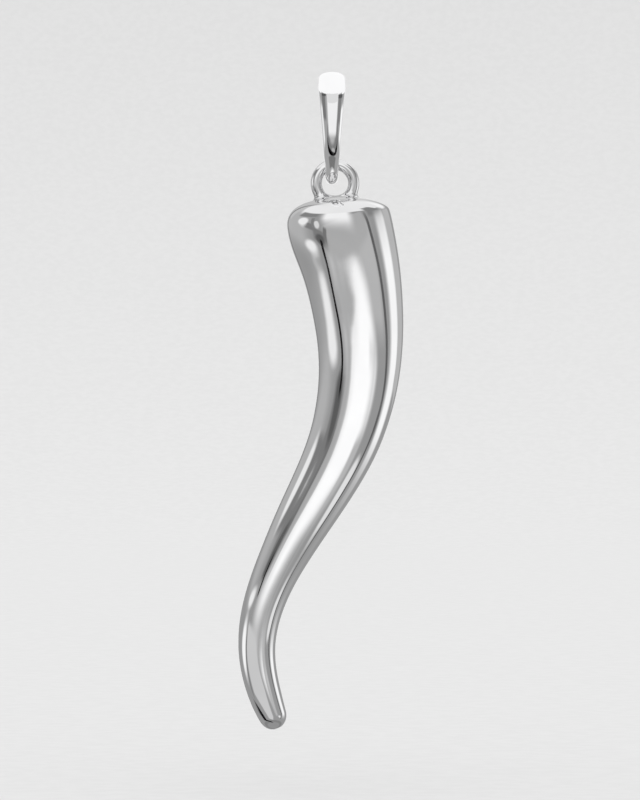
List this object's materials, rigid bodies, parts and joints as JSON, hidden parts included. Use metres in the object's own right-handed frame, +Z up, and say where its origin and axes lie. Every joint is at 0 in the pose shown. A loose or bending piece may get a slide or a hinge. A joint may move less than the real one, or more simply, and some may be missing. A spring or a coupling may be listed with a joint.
{
  "type": "cornicello horn pendant",
  "caption": "Polished S-curved horn amulet with a soldered wire loop, hanging from a tapered teardrop bail.",
  "frame": {"origin": "inner top of the bail, at the middle of its width, where a chain bears and the pendant hangs", "axes": "+Z up along the hanging pendant, -Y towards the wearer's front (the side that shows), +X to the viewer's right, along which a chain runs through the bail"},
  "size_m": [0.0103, 0.0067, 0.041],
  "materials": {
    "horn_silver": "mirror-polished white silver",
    "bail_silver": "mirror-polished white silver"
  },
  "bodies": {
    "bail": {"bail": "bail_silver"},
    "horn": {"horn": "horn_silver"}
  },
  "joints": [
    {"name": "horn_swing", "type": "hinge", "parent": "bail", "child": "horn", "pos_m": [0.0002, 0, -0.00505], "axis": [1, 0, 0], "range_deg": [-100, 100]}
  ]
}
